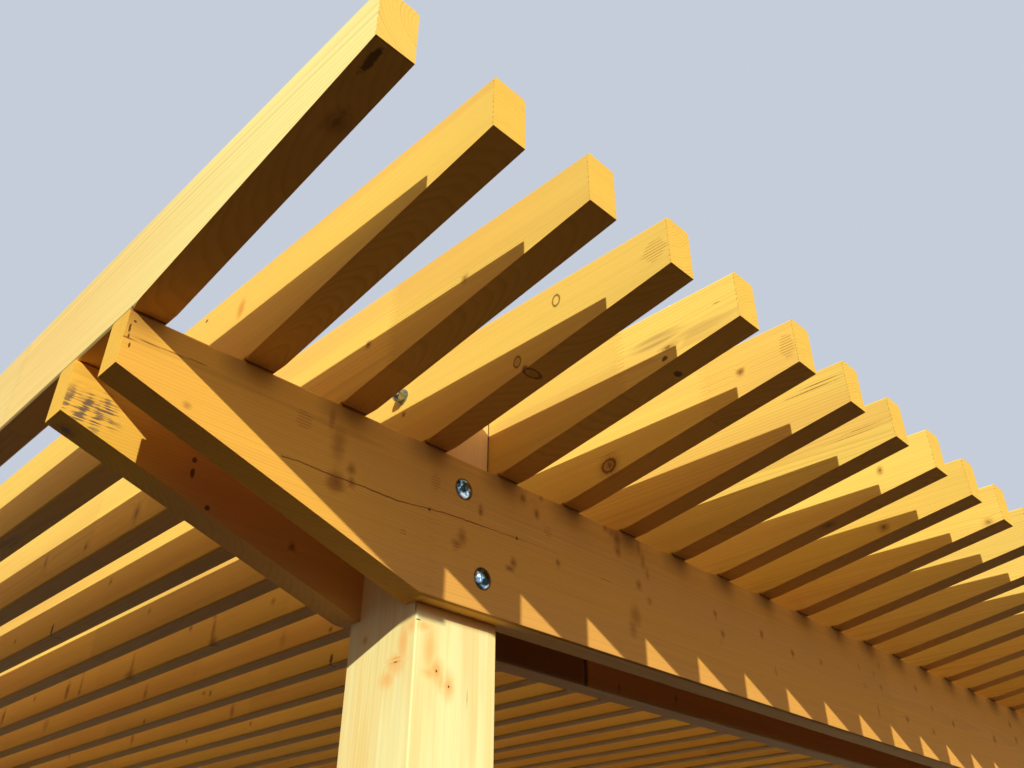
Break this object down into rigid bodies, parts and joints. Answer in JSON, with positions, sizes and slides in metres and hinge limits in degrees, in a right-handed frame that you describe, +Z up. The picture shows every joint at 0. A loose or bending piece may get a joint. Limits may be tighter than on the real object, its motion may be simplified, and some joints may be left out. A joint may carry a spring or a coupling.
{
  "type": "lean-to pergola",
  "caption": "Open lean-to timber pergola: close level rafters with tapered tails on twin beams let into and bolted through square post heads, with a wall plate behind.",
  "frame": {"origin": "middle of the wall plate's back face, in the wall plane; ground level is 2.21 m below it", "axes": "+X to the right along the wall as seen from the open front, +Y into the wall, +Z up"},
  "size_m": [3.96, 4, 2.465],
  "materials": {
    "post_timber": "planed softwood, clear oiled, satin",
    "front_beam_timber": "planed softwood, clear oiled, satin",
    "back_beam_timber": "planed softwood, clear oiled, satin",
    "wall_plate_timber": "planed softwood, clear oiled, satin",
    "rafter_timber": "planed softwood, clear oiled, satin",
    "bright_zinc": "bright zinc plated",
    "galvanised_steel": "hot-dip galvanised, dull"
  },
  "bodies": {
    "root": {"post_left": "post_timber", "post_right": "post_timber", "front_beam": "front_beam_timber", "back_beam": "back_beam_timber", "wall_plate": "wall_plate_timber", "rafter_01": "rafter_timber", "rafter_02": "rafter_timber", "rafter_03": "rafter_timber", "rafter_04": "rafter_timber", "rafter_05": "rafter_timber", "rafter_06": "rafter_timber", "rafter_07": "rafter_timber", "rafter_08": "rafter_timber", "rafter_09": "rafter_timber", "rafter_10": "rafter_timber", "rafter_11": "rafter_timber", "rafter_12": "rafter_timber", "rafter_13": "rafter_timber", "rafter_14": "rafter_timber", "rafter_15": "rafter_timber", "rafter_16": "rafter_timber", "rafter_17": "rafter_timber", "rafter_18": "rafter_timber", "rafter_19": "rafter_timber", "rafter_20": "rafter_timber", "rafter_21": "rafter_timber", "rafter_22": "rafter_timber", "rafter_23": "rafter_timber", "rafter_24": "rafter_timber", "rafter_25": "rafter_timber", "rafter_26": "rafter_timber", "rafter_27": "rafter_timber", "rafter_28": "rafter_timber", "beam_bolts": "bright_zinc", "beam_nuts": "bright_zinc", "head_bolts": "bright_zinc", "head_nuts": "bright_zinc", "post_shoe_left": "galvanised_steel", "post_shoe_right": "galvanised_steel"}
  },
  "joints": []
}
